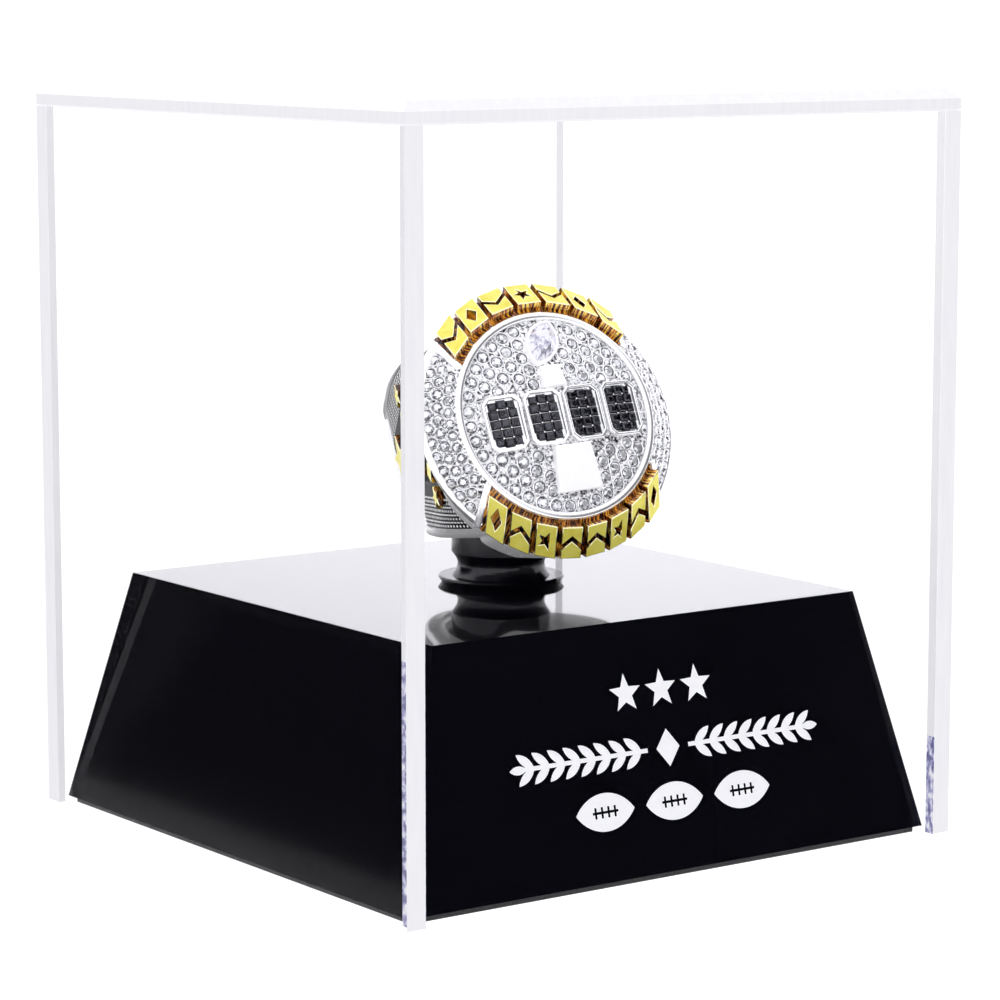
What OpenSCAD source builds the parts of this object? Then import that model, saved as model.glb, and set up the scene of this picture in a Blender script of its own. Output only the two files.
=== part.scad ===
// Acrylic display case for one large championship-style finger ring.
// A clear five-plate cover drops over a black tapered base. A swivelling holder on the base
// carries the ring on a leaning finger.
// Origin: centre of the case on the table. +Z up, -Y is the engraved front, -X the left side.

/* [Cover] */
// Outside width and depth of the clear cover
cover_w = 80; // [79:0.5:86]
// Outside height of the clear cover
cover_h = 90; // [88:0.5:110]
// Thickness of the clear sheet
sheet = 2.5; // [2:0.1:2.6]
// Bevel along the outer top edges
cover_bevel = 1.2; // [0.4:0.1:1.8]

/* [Base] */
// Width of the base at its foot
base_foot_w = 74.4; // [72:0.2:74.4]
// Width of the base at its top
base_top_w = 62; // [58:0.5:66]
// Height of the base's top face above the table
base_h = 29.5; // [29:0.1:30]
// Thickness of the black panels
panel = 3; // [2.5:0.1:3.5]
// Thickness of the felt pad under the base
pad_t = 0.8; // [0.5:0.1:1.2]
// Depth of the engraving on the front panel
engrave_d = 0.4; // [0.2:0.1:0.6]

/* [Holder] */
// Sideways place of the swivel axis
holder_x = 1; // [0:0.5:2]
// Radius of the swivel disc
disc_r = 7.75; // [7:0.25:8]
// Radius of the neck above the disc
neck_r = 6.1; // [5.5:0.1:6.2]
// Clearance between the finger and the ring
finger_gap = 0.4; // [0.3:0.05:0.6]

/* [Ring] */
// Inside radius of the ring
hole_r = 10.3; // [10:0.1:10.6]
// Outside radius of the shank at its sides
shank_r = 12.8; // [12.7:0.1:13.2]
// Distance from the finger axis to the face's rim
face_d = 13.5; // [13.3:0.1:14]
// Outside radius of the polished rim round the face
rim_r = 13.1; // [13:0.1:13.4]
// Outside radius of the bezel at its foot
bezel_r = 16.8; // [16.5:0.1:17]
// Depth from the rim down to the bezel's foot
bezel_drop = 3.1; // [3:0.1:3.3]
// How far the finger leans back
lean = 23.5; // [20:0.5:26]
// How far the ring is turned about the finger, towards the left
spin = 10; // [0:1:20]

/* [Hidden] */
$fn = 64;
big = 200;

// Hairline left between glued clear plates
seam = 0.03;
wall_top = cover_h - sheet - seam;
half_w = cover_w / 2;

// Base
base_slope = atan((base_foot_w - base_top_w) / 2 / (base_h - pad_t));
panel_run = panel / cos(base_slope);
panel_top = base_h - panel;
floor_t = 2.5;
floor_top = pad_t + floor_t;
floor_half = base_half(floor_top) - panel_run;
block_in = 23;
block_top = 18;
screw_at = 27;
screw_r = 1.25;
screw_head_r = 2.4;
screw_len = 9;
pilot_gap = 0.05;

// Engraved rows on the front slope: height of each row's centre up the slope
star_row_y = 21.2;
laurel_row_y = 14.2;
football_row_y = 8;
row_h = 4.4;

// Holder
washer_t = 0.4;
washer_sink = 0.35;
washer_r = 6;
disc_z = base_h + washer_t - washer_sink;
disc_t = 0.85;
neck_z = disc_z + disc_t;
waist = 0.75;
waist_h = 2.9;
neck_top = 38;
spigot_r = 2.4;
spigot_gap = 0.1;
spigot_foot = 22.4;
retainer_t = 0.8;
nut_t = 2.4;
finger_r = hole_r - finger_gap;
finger_low = 35.4;
finger_from = -13;
finger_to = 9.5;
finger_chamfer = 1.2;
band_r = 0.9;
band_sink = 0.66;
band_at = [-2.5, 4.5];
ring_centre = [4.8, 3, 45.5];

// Ring, in its own axes: +Z along the finger, -Y out of the face
rim_w = 1;
rim_lip = 0.25;
shell_t = 0.4;
dome_r = 60;
dome_top = 0.7;
cone_angle = atan(bezel_drop / (bezel_r - rim_r));
band_out = 8.85;
band_flare = 0.3;
band_in_half = 57;
band_foot_half = 47;
skirt_h = 3.2;
skirt_r = 13.6;
taper_mid = 10;
shelf_t = 3.6;
taper_rate = 0.3;
window_d = 0.5;
window_edge = 1.3;
window_back = -6;
window_front = 9.2;
shoulder_x = 15.3;
shoulder_y = -10.4;
hip_y = 2.5;
stone_r = 0.74;
stone_pitch = 1.85;
stone_step = 1.68;
relief_x = 0.6;
figure_l = 4.1;
figure_h = 1.25;
figure_from = 0.5;
figure_gap = 0.45;
plaque_w = 5;
plaque_h = 6.9;
plaque_pitch = 5.2;
plaque_y = -0.4;
marquise_turn = 58;
marquise_y = 9;

// Height of a base cross-section's half width
function base_half(z) = base_foot_w / 2 - (z - pad_t) * tan(base_slope);
// Half the width of the shank at a distance y towards the face
function shank_half(y) = taper_mid + taper_rate * y;

// ---------- shared shapes ----------

// Square block with four sloping sides, made of two crossed prisms
module tapered_block(half_low, half_high, z_low, z_high) {
    outline = [[-half_low, z_low], [half_low, z_low], [half_high, z_high], [-half_high, z_high]];
    intersection() {
        rotate([90, 0, 0]) linear_extrude(height = big, center = true) polygon(outline);
        rotate([90, 0, 90]) linear_extrude(height = big, center = true) polygon(outline);
    }
}

// Region between two angles round +Z, less than half a turn
module wedge(from, to) {
    middle = (from + to) / 2;
    linear_extrude(height = big, center = true)
        polygon([for (p = [[0, 0], [big, from], [big, middle], [big, to]]) p[0] * [cos(p[1]), sin(p[1])]]);
}

// Pointed oval of length l and width w, long way along x
module lens(l, w) {
    r = (l * l / 4 + w * w / 4) / w;
    intersection() {
        translate([0, r - w / 2]) circle(r);
        translate([0, w / 2 - r]) circle(r);
    }
}

// Five-pointed star
module star(r) {
    polygon([for (i = [0:9]) (i % 2 == 0 ? r : r * 0.42) * [sin(i * 36), cos(i * 36)]]);
}

// Diamond of length l along x and width w
module lozenge(l, w) {
    polygon([[-l / 2, 0], [0, -w / 2], [l / 2, 0], [0, w / 2]]);
}

// ---------- clear cover ----------

module cover_top() {
    outline = [[-half_w, 0], [half_w, 0], [half_w, sheet - cover_bevel], [half_w - cover_bevel, sheet],
               [cover_bevel - half_w, sheet], [-half_w, sheet - cover_bevel]];
    color("white", 0.3) translate([0, 0, cover_h - sheet]) intersection() {
        rotate([90, 0, 0]) linear_extrude(height = cover_w, center = true) polygon(outline);
        rotate([90, 0, 90]) linear_extrude(height = cover_w, center = true) polygon(outline);
    }
}

module side_plate() {
    translate([-half_w, -half_w, 0]) cube([sheet, cover_w - sheet - seam, wall_top]);
}

module cover_left() {
    color("white", 0.3) side_plate();
}

module cover_right() {
    color("white", 0.3) mirror([1, 0, 0]) side_plate();
}

module cover_front() {
    gap = sheet + seam;
    color("white", 0.3) translate([gap - half_w, -half_w, 0])
        cube([cover_w - 2 * gap, sheet, wall_top]);
}

module cover_back() {
    color("white", 0.3) translate([-half_w, half_w - sheet, 0]) cube([cover_w, sheet, wall_top]);
}

// ---------- black base ----------

// One of the four mitred panels, on the -Y side
module slope_panel() {
    intersection() {
        difference() {
            tapered_block(base_half(pad_t), base_half(panel_top), pad_t, panel_top);
            tapered_block(base_half(0) - panel_run, base_half(base_h) - panel_run, 0, base_h);
        }
        wedge(-135, -45);
    }
}

// Puts its children on the front slope: x across, y up the slope, z out of it
module on_front_slope() {
    translate([0, -base_half(pad_t), pad_t]) rotate([90 - base_slope, 0, 0]) children();
}

module base_top_panel() {
    color("black") difference() {
        tapered_block(base_half(panel_top), base_half(base_h), panel_top, base_h);
        on_swivel(panel_top - 1) cylinder(r = spigot_r + spigot_gap, h = panel + 2);
        on_swivel(base_h - washer_sink) cylinder(r = washer_r + spigot_gap, h = 1);
    }
}

module base_front_panel() {
    color("black") difference() {
        slope_panel();
        on_front_slope() translate([0, 0, -engrave_d]) linear_extrude(height = 2) {
            star_row();
            laurel_row();
            football_row();
        }
    }
}

module base_right_panel() {
    color("black") rotate([0, 0, 90]) slope_panel();
}

module base_back_panel() {
    color("black") rotate([0, 0, 180]) slope_panel();
}

module base_left_panel() {
    color("black") rotate([0, 0, 270]) slope_panel();
}

module base_floor() {
    color("dimgray") difference() {
        translate([-floor_half, -floor_half, pad_t]) cube([2 * floor_half, 2 * floor_half, floor_t]);
        at_corners() translate([0, 0, pad_t - 1]) cylinder(r = screw_r + 0.15, h = floor_t + 2);
        at_corners() translate([0, 0, pad_t - 1]) cylinder(r = screw_head_r + 0.1, h = 2);
    }
}

// Repeats its children at the four floor screws
module at_corners() {
    for (sx = [-1, 1], sy = [-1, 1]) translate([sx * screw_at, sy * screw_at, 0]) children();
}

module corner_blocks() {
    reach = base_foot_w / 2 - block_in;
    color("dimgray") difference() {
        intersection() {
            for (a = [0:90:270])
                rotate([0, 0, a]) translate([block_in, block_in, floor_top])
                    cube([reach, reach, block_top - floor_top]);
            tapered_block(base_half(0) - panel_run, base_half(base_h) - panel_run, 0, base_h);
        }
        at_corners() translate([0, 0, floor_top - 1]) cylinder(r = screw_r + pilot_gap, h = screw_len);
    }
}

module floor_screws() {
    color("silver") at_corners() difference() {
        union() {
            translate([0, 0, pad_t + 0.1]) cylinder(r = screw_head_r, h = 0.9);
            translate([0, 0, pad_t + 0.1]) cylinder(r = screw_r, h = screw_len);
        }
        translate([0, 0, pad_t]) for (a = [0, 90]) rotate([0, 0, a]) cube([2.6, 0.6, 1.2], center = true);
    }
}

module felt_pad() {
    half = base_foot_w / 2 - 0.8;
    color("darkslategray") translate([-half, -half, 0]) cube([2 * half, 2 * half, pad_t]);
}

// ---------- white-filled engraving ----------

module star_row() {
    for (i = [-1:1]) translate([i * 5.2, star_row_y - 0.15]) star(row_h / 2 + 0.15);
}

// A laurel spray that runs out to both sides of a diamond
module laurel_row() {
    stem = 21.5;
    leaves = 8;
    translate([0, laurel_row_y]) {
        lozenge(3.4, row_h);
        for (side = [-1, 1]) scale([side, 1]) {
            translate([3, -0.25]) square([stem - 3, 0.5]);
            for (i = [0:leaves - 1], up = [-1, 1])
                translate([4 + i * (stem - 4) / leaves, 0]) rotate(up * 38)
                    translate([1.4, 0]) lens(3, 1.05);
            translate([stem, 0]) lens(2.4, 1);
        }
    }
}

module football(l) {
    difference() {
        lens(l, row_h);
        translate([-l * 0.22, -0.15]) square([l * 0.44, 0.3]);
        for (i = [-1.5:1.5]) translate([i * l * 0.11 - 0.15, -0.65]) square([0.3, 1.3]);
    }
}

module football_row() {
    for (i = [-1:1]) translate([i * 10.1, football_row_y]) football(8.4);
}

module inlay() {
    color("white") on_front_slope() translate([0, 0, -engrave_d])
        linear_extrude(height = engrave_d) children();
}

module star_inlay() {
    inlay() star_row();
}

module laurel_inlay() {
    inlay() laurel_row();
}

module football_inlay() {
    inlay() football_row();
}

// ---------- swivelling holder ----------

module on_swivel(z) {
    translate([holder_x, 0, z]) children();
}

// Moves from the ring's own axes to the case's
module in_ring() {
    translate(ring_centre) rotate([-lean, 0, 0]) rotate([0, 0, -spin]) children();
}

module swivel_washer() {
    color("gray") on_swivel(base_h - washer_sink) difference() {
        cylinder(r = washer_r, h = washer_t);
        translate([0, 0, -1]) cylinder(r = spigot_r + spigot_gap, h = 3);
    }
}

// Waisted neck profile between the disc and the finger
module neck_profile() {
    steps = 12;
    polygon(concat(
        [[0, 0]],
        [for (i = [0:steps]) [neck_r - waist * sin(180 * i / steps), waist_h * i / steps]],
        [[0, waist_h]]));
}

module finger() {
    length = finger_to - finger_from;
    intersection() {
        in_ring() translate([0, 0, finger_from]) difference() {
            rotate_extrude() polygon([[0, 0], [finger_r, 0], [finger_r, length - finger_chamfer],
                                      [finger_r - finger_chamfer, length], [0, length]]);
            for (z = band_at) translate([0, 0, z - finger_from]) band(0.02);
        }
        translate([-big / 2, -big / 2, finger_low]) cube(big);
    }
}

module band(extra) {
    rotate_extrude() translate([finger_r - band_sink, 0]) circle(band_r + extra, $fn = 24);
}

module holder_body() {
    color([0.08, 0.08, 0.09]) {
        on_swivel(disc_z) rotate_extrude()
            polygon([[0, 0], [disc_r - 0.45, 0], [disc_r, disc_t - 0.2],
                     [disc_r - 0.2, disc_t], [0, disc_t]]);
        on_swivel(neck_z) rotate_extrude() neck_profile();
        on_swivel(neck_z + waist_h) cylinder(r = neck_r, h = neck_top - neck_z - waist_h);
        on_swivel(spigot_foot) cylinder(r = spigot_r, h = disc_z - spigot_foot);
        finger();
    }
}

module finger_bands() {
    color([0.15, 0.15, 0.16]) in_ring() for (z = band_at) translate([0, 0, z]) band(0);
}

module retaining_washer() {
    color("silver") on_swivel(panel_top - retainer_t) difference() {
        cylinder(r = 4.8, h = retainer_t);
        translate([0, 0, -1]) cylinder(r = spigot_r + 0.05, h = retainer_t + 2);
    }
}

module retaining_nut() {
    color("silver") on_swivel(panel_top - retainer_t - nut_t) difference() {
        cylinder(r = 4.3, h = nut_t, $fn = 6);
        translate([0, 0, -1]) cylinder(r = spigot_r + 0.02, h = nut_t + 2);
    }
}

// ---------- ring ----------

// Puts its children on the ring's face: x across, y along the finger, z out of the rim plane
module on_face() {
    in_ring() translate([0, -face_d, 0]) rotate([90, 0, 0]) children();
}

// Puts its children on the domed field, z out of the dome
module on_dome(x, y) {
    translate([0, 0, dome_top - dome_r]) rotate([-asin(y / dome_r), asin(x / dome_r), 0])
        translate([0, 0, dome_r]) children();
}

// Puts its children on the bezel's cone at an angle round the face and a way down the slope,
// with x down the slope and z out of it
module on_cone(angle, down) {
    rotate([0, 0, angle]) translate([rim_r, 0, 0]) rotate([0, cone_angle, 0])
        translate([down, 0, 0]) children();
}

// Outline of the ring seen along the finger, drawn in by an inset
module ring_outline(inset = 0) {
    circle(shank_r - inset);
    side = shoulder_x - inset;
    hip = shank_r - 0.25 - inset;
    polygon([[-side, shoulder_y], [-rim_r, -face_d + 0.6], [rim_r, -face_d + 0.6], [side, shoulder_y],
             [hip, hip_y], [-hip, hip_y]]);
}

// Taper of the shank seen from the side, y towards the face
module shank_taper() {
    back = -shank_r - 1;
    front = face_d - bezel_drop;
    polygon([[back, -shank_half(back)], [front, -shank_half(front)],
             [front, shank_half(front)], [back, shank_half(back)]]);
}

// Full-width wall behind the bezel's foot, where the shank meets it
module bezel_shelf() {
    in_ring() intersection() {
        shank_form(0, 40);
        translate([0, bezel_drop - face_d + shelf_t / 2, 0]) cube([60, shelf_t, 60], center = true);
    }
}

module ring_casting() {
    color("silver") difference() {
        union() {
            in_ring() intersection() {
                shank_form(0, 40);
                rotate([90, 0, -90]) linear_extrude(height = 60, center = true) shank_taper();
            }
            bezel_shelf();
            on_face() translate([0, 0, -bezel_drop - shell_t])
                cylinder(r1 = bezel_r, r2 = rim_r, h = bezel_drop);
            on_face() translate([0, 0, -bezel_drop - skirt_h])
                cylinder(r1 = skirt_r, r2 = bezel_r, h = skirt_h);
            on_face() intersection() {
                translate([0, 0, dome_top - dome_r]) sphere(dome_r, $fn = 128);
                translate([0, 0, -1]) cylinder(r = rim_r - rim_w, h = 3);
            }
        }
        in_ring() cylinder(r = hole_r, h = 60, center = true);
        shank_window(0);
    }
}

module face_rim() {
    color("silver") on_face() translate([0, 0, -shell_t]) rotate_extrude()
        polygon([[rim_r - rim_w, 0], [rim_r, 0], [rim_r, shell_t + 0.05],
                 [rim_r - 0.25, shell_t + rim_lip], [rim_r - rim_w + 0.2, shell_t + rim_lip],
                 [rim_r - rim_w, shell_t + 0.05]]);
}

// The part of the sleeve over the bezel's cone that lies above an outline on the face
module cone_part(outline) {
    on_face() intersection() {
        difference() {
            translate([0, 0, -bezel_drop]) cylinder(r1 = bezel_r, r2 = rim_r, h = bezel_drop);
            translate([0, 0, -bezel_drop - shell_t]) cylinder(r1 = bezel_r, r2 = rim_r, h = bezel_drop);
            translate([0, 0, -bezel_drop]) cylinder(r = rim_r, h = 2 * bezel_drop);
        }
        linear_extrude(height = 20, center = true) polygon(outline);
    }
}

// Outline of the band in the direction side (1 or -1) of y, widening towards the bezel's foot
function band_outline(side) = [for (p = [[-band_out, 0], [band_out, 0],
    [band_out + 30 * band_flare, 30], [-band_out - 30 * band_flare, 30]]) [p[0], side * p[1]]];
// Outline of the panel between the bands, in the direction side of x
function panel_outline(side) = [for (p = [[band_out, 0], [band_out + 30 * band_flare, 30],
    [40, 30], [40, -30], [band_out + 30 * band_flare, -30]]) [side * p[0], p[1]]];

module upper_ground() {
    color("saddlebrown") cone_part(band_outline(1));
}

module lower_ground() {
    color("saddlebrown") cone_part(band_outline(-1));
}

module left_pave_panel() {
    color("silver") cone_part(panel_outline(-1));
}

module right_pave_panel() {
    color("silver") cone_part(panel_outline(1));
}

// Raised keystone block, w0 wide at the rim and w1 wide at the foot: split by a chevron,
// or pierced by a diamond or a star
module figure(kind, w0, w1) {
    l = figure_l;
    difference() {
        polygon([[0, -w0 / 2], [l, -w1 / 2], [l, w1 / 2], [0, w0 / 2]]);
        if (kind == "chevron")
            polygon([for (p = [[0.62, -1], [0.3, 0], [0.62, 1], [0.76, 1], [0.44, 0], [0.76, -1]])
                     [l * p[0], w1 * p[1] / 1.7]]);
        if (kind == "diamond") translate([l / 2, 0]) lozenge(l * 0.56, w0 * 0.52);
        if (kind == "star") translate([l / 2, 0]) star(w0 * 0.36);
    }
}

// Row of blocks along a band, leaning over towards its ends
module figure_band(middle, kinds) {
    count = len(kinds);
    r0 = rim_r + figure_from * cos(cone_angle);
    r1 = r0 + figure_l * cos(cone_angle);
    step0 = 2 * (band_in_half - 3) / count;
    step1 = 2 * (band_foot_half - 3) / count;
    w0 = 2 * r0 * sin(step0 / 2) - figure_gap;
    w1 = 2 * r1 * sin(step1 / 2) - figure_gap;
    on_face() for (i = [0:count - 1]) {
        place = i - (count - 1) / 2;
        angle = place * (step0 + step1) / 2;
        lean_over = (r0 * sin(place * step0 - angle) - r1 * sin(place * step1 - angle)) / figure_l;
        on_cone(middle + angle, figure_from) translate([0, 0, -0.15]) linear_extrude(height = figure_h)
            multmatrix([[1, 0, 0, 0], [-lean_over, 1, 0, lean_over * figure_l / 2],
                        [0, 0, 1, 0], [0, 0, 0, 1]])
                figure(kinds[i], w0, w1);
    }
}

module upper_blocks() {
    color("gold")
        figure_band(90, ["chevron", "diamond", "chevron", "star", "chevron", "diamond", "chevron"]);
}

module lower_blocks() {
    color("gold")
        figure_band(-90, ["diamond", "chevron", "star", "chevron", "chevron", "star", "chevron", "diamond"]);
}

// Round stone sunk a little into its seat, with a bevelled crown of height h
module stone(r, h) {
    rotate_extrude() polygon([[0, -0.25], [r, -0.25], [r, 0.05], [r * 0.6, 0.05 + h], [0, 0.05 + h]]);
}

function in_plaques(x, y) =
    abs(x - relief_x) < 2 * plaque_pitch + stone_r && abs(y - plaque_y) < plaque_h / 2 + stone_r + 0.1;
function in_pedestal(x, y) =
    y < 0 ? abs(x - relief_x) < 3 + stone_r && y > -10.5 : abs(x - relief_x) < 1.7 + stone_r;
function in_marquise(x, y) = abs(x - relief_x / 2) < 2.2 + stone_r && y > 5.4;
function stone_fits(x, y) = !in_plaques(x, y) && !in_pedestal(x, y) && !in_marquise(x, y);

// Rings of stones over the field, from its rim inwards
module face_stones() {
    color("lightcyan") on_face() for (row = [0:4]) {
        r = rim_r - rim_w - stone_r - 0.08 - row * stone_step;
        count = floor(360 / (2 * asin(stone_pitch / 2 / r)));
        for (i = [0:count - 1]) {
            x = r * cos((i + row / 2) * 360 / count);
            y = r * sin((i + row / 2) * 360 / count);
            if (stone_fits(x, y)) on_dome(x, y) stone(stone_r, 0.3);
        }
    }
}

// Stepped plaque outline
module plaque(w, h) {
    cut = w * 0.16;
    polygon([[-w / 2 + cut, -h / 2], [w / 2 - cut, -h / 2], [w / 2, -h / 2 + cut], [w / 2, h / 2 - cut],
             [w / 2 - cut, h / 2], [-w / 2 + cut, h / 2], [-w / 2, h / 2 - cut], [-w / 2, -h / 2 + cut]]);
}

// Repeats its children at the four plaques across the face
module at_plaques() {
    on_face() for (i = [-1.5:1.5]) on_dome(relief_x + i * plaque_pitch, plaque_y) children();
}

module plaque_frames() {
    color("silver") at_plaques() translate([0, 0, -0.2]) linear_extrude(height = 1.1) difference() {
        plaque(plaque_w, plaque_h);
        plaque(plaque_w - 0.9, plaque_h - 0.9);
    }
}

module black_stones() {
    cell = [1.25, 1.15, 1];
    color("black") at_plaques() for (i = [-1:1], j = [-2:2]) {
        corner = abs(i) + abs(j) == 3;
        size = corner ? 0.2 : 0.1;
        inward = corner ? 0.1 : 0;
        translate([i * (cell.x - inward), j * (cell.y - inward / 2), 0.4])
            cube(cell - [size, size, 0], center = true);
    }
}

module marquise_stone() {
    color("lightcyan") on_face() on_dome(relief_x / 2, marquise_y)
        translate([0, 0, 0.3]) rotate(marquise_turn) linear_extrude(height = 1.1) lens(5.9, 3.5);
}

// Plain fluted pedestal below the marquise stone
module pedestal_relief() {
    color("white") on_face() {
        on_dome(relief_x / 2, marquise_y) translate([0, 0, -0.2]) rotate(marquise_turn)
            linear_extrude(height = 0.5) lens(6.3, 4);
        on_dome(relief_x - 0.3, 4.9) translate([0, 0, -0.2]) linear_extrude(height = 1)
            polygon([[-1.6, -1.6], [1.6, -1.6], [1.2, 1.1], [-1.2, 1.1]]);
        on_dome(relief_x, -7.15) translate([0, 0, -0.2]) linear_extrude(height = 1.1)
            polygon([[-3, -2.5], [3, -2.5], [2.4, 3.2], [-2.4, 3.2]]);
    }
}

module pave_stones() {
    color("lightcyan") on_face() for (side = [0, 180], row = [0:2]) {
        count = 10 + row;
        half = 26 + row * 4;
        for (i = [0:count - 1])
            on_cone(side + (i / (count - 1) * 2 - 1) * half, 0.95 + row * 1.4) stone(0.62, 0.3);
    }
}

// The shank's outer form, before its taper, drawn in by an inset
module shank_form(inset, h) {
    intersection() {
        linear_extrude(height = h, center = true) ring_outline(inset);
        rotate([90, 0, 0]) cylinder(r = bezel_r - inset, h = 60, center = true);
    }
}

// Shallow windows in both sides of the shank, from a depth below its surface down to their floor
module shank_window(depth) {
    in_ring() intersection() {
        difference() {
            shank_form(depth, 30);
            shank_form(window_d, 32);
        }
        rotate([90, 0, -90]) linear_extrude(height = 60, center = true)
            polygon([for (p = [[window_back, -1], [window_front, -1], [window_front, 1], [window_back, 1]])
                     [p[0], p[1] * (shank_half(p[0]) - window_edge)]]);
    }
}

module shank_panels() {
    color([0.1, 0.1, 0.1]) shank_window(0.15);
}

// Puts its children on one side of the shank, z out of it, x towards the back and y along the finger
module on_shank(side, y, z) {
    flank = atan((shoulder_x - shank_r + 0.25) / (hip_y - shoulder_y));
    x = shank_r - 0.25 + (hip_y - y) * tan(flank) - window_d;
    translate([side * x, y, z]) rotate([0, 0, side * flank]) rotate([90, 0, side * 90]) children();
}

module shank_ornaments() {
    color("gold") in_ring() for (side = [-1, 1]) {
        for (i = [-2:2]) on_shank(side, -6.6, i * 3.2)
            linear_extrude(height = 0.9) if (i % 2 == 0) star(1.45); else lozenge(2.2, 2.6);
        on_shank(side, -0.6, 0) linear_extrude(height = 0.9) star(3.1);
    }
}

cover_top();
cover_front();
cover_back();
cover_left();
cover_right();
base_top_panel();
base_front_panel();
base_back_panel();
base_left_panel();
base_right_panel();
base_floor();
corner_blocks();
floor_screws();
felt_pad();
star_inlay();
laurel_inlay();
football_inlay();
swivel_washer();
holder_body();
finger_bands();
retaining_washer();
retaining_nut();
ring_casting();
face_rim();
face_stones();
plaque_frames();
black_stones();
marquise_stone();
pedestal_relief();
upper_ground();
lower_ground();
upper_blocks();
lower_blocks();
left_pave_panel();
right_pave_panel();
pave_stones();
shank_panels();
shank_ornaments();
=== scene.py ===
"""Display case for one ornamental finger ring: the looks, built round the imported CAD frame.

Everything is in metres in the CAD's frame. The ring's pieces are worked out in millimetres in the ring's own
axes (finger axis along +Z, face towards -Y) and placed by the RING and FACE matrices.
"""

import math
import random

import bpy
from mathutils import Matrix, Vector


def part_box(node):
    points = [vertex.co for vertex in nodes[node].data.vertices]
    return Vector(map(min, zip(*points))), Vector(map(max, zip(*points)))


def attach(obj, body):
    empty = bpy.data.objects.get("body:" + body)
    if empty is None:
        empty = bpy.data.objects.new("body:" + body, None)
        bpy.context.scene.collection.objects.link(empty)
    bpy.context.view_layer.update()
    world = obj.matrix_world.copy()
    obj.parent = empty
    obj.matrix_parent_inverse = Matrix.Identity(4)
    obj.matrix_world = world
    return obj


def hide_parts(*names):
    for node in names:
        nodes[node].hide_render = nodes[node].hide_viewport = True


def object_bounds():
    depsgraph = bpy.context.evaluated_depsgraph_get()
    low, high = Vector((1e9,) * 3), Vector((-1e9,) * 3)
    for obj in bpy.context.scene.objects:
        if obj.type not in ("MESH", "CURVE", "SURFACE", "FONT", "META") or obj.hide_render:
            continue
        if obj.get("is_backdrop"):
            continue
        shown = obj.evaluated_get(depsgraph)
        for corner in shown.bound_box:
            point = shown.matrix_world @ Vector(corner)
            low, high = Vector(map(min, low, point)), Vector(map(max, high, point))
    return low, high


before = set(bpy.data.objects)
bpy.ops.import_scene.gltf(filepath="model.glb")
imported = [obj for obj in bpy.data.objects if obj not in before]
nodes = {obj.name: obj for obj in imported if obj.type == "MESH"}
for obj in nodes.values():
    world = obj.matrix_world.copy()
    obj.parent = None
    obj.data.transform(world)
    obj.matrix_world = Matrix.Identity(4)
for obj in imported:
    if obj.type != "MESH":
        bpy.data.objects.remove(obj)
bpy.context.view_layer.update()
scene = bpy.context.scene

MM = 0.001
TAU = 2 * math.pi

# ---------- sizes in millimetres, as in the CAD source ----------

COVER_CHAMFER = 1.2
EDGE_BREAK = 0.15
GLUE_MEAN = 20.75
GLUE_FALL = 0.233
BASE_SLOPE = 6.2 / 28.7
HOLDER_X = 1
SPIGOT_R = 2.5
WASHER_R = 6.1
WASHER_SINK = 0.35
RING_CENTRE = Vector((4.8, 3, 45.5))
LEAN = math.radians(23.5)
SPIN = math.radians(10)
HOLE_R = 10.3
SHANK_R = 12.8
FACE_D = 13.5
RIM_R = 13.1
RIM_W = 1.0
RIM_LIP = 0.25
SHELL = 0.4
BEZEL_R = 16.8
BEZEL_DROP = 3.1
DOME_R = 60
DOME_TOP = 0.7
BAND_OUT = 8.85
BAND_FLARE = 0.3
BAND_IN_HALF = 57
BAND_FOOT_HALF = 47
SHELF_T = 3.6
SHOULDER = (15.3, -10.4)
HIP = (SHANK_R - 0.25, 2.5)
TAPER_MID = 10
TAPER_RATE = 0.3
WINDOW_DEPTH = 0.5
WINDOW_EDGE = 1.3
WINDOW_BACK = -6
WINDOW_FRONT = 9.2
RELIEF_X = 0.6
PLAQUE_W = 5.0
PLAQUE_H = 6.9
PLAQUE_PITCH = 5.2
PLAQUE_Y = -0.4
UPPER_STEP_X = RELIEF_X - 0.3
MARQUISE_TURN = math.radians(58)
MARQUISE_Y = 9
MARQUISE_L = 5.9
MARQUISE_W = 3.5
CONE_ANGLE = math.atan2(BEZEL_DROP, BEZEL_R - RIM_R)
CONE_LENGTH = math.hypot(BEZEL_DROP, BEZEL_R - RIM_R)


def turn(angle, axis):
    return Matrix.Rotation(angle, 4, axis)


def shift(x, y, z):
    return Matrix.Translation((x, y, z))


RING = Matrix.Translation(RING_CENTRE) @ turn(-LEAN, "X") @ turn(-SPIN, "Z")
FACE = RING @ shift(0, -FACE_D, 0) @ turn(math.pi / 2, "X")


def on_dome(x, y, up=0.0):
    """On the domed field at (x, y) of the face, z out of the dome."""
    tilt = turn(math.asin(x / DOME_R), "Y") @ turn(-math.asin(y / DOME_R), "X")
    return FACE @ shift(0, 0, DOME_TOP - DOME_R) @ tilt @ shift(0, 0, DOME_R + up)


def on_cone(angle, down, up=0.0):
    """On the bezel's cone at an angle round the face, x down its slope and z out of it."""
    return (FACE @ turn(math.radians(angle), "Z") @ shift(RIM_R, 0, 0)
            @ turn(CONE_ANGLE, "Y") @ shift(down, 0, up))


# ---------- mesh building ----------

class Shape:
    """Gathers vertices (millimetres, in the frame's axes), faces and material numbers into one mesh."""

    def __init__(self):
        self.verts = []
        self.faces = []
        self.paint = []

    def add(self, part, matrix=Matrix(), paint=0):
        verts, faces = part[0], part[1]
        paints = part[2] if len(part) > 2 else [paint] * len(faces)
        first = len(self.verts)
        self.verts += [matrix @ Vector(v) for v in verts]
        self.faces += [[first + i for i in f] for f in faces]
        self.paint += paints
        return self


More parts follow.
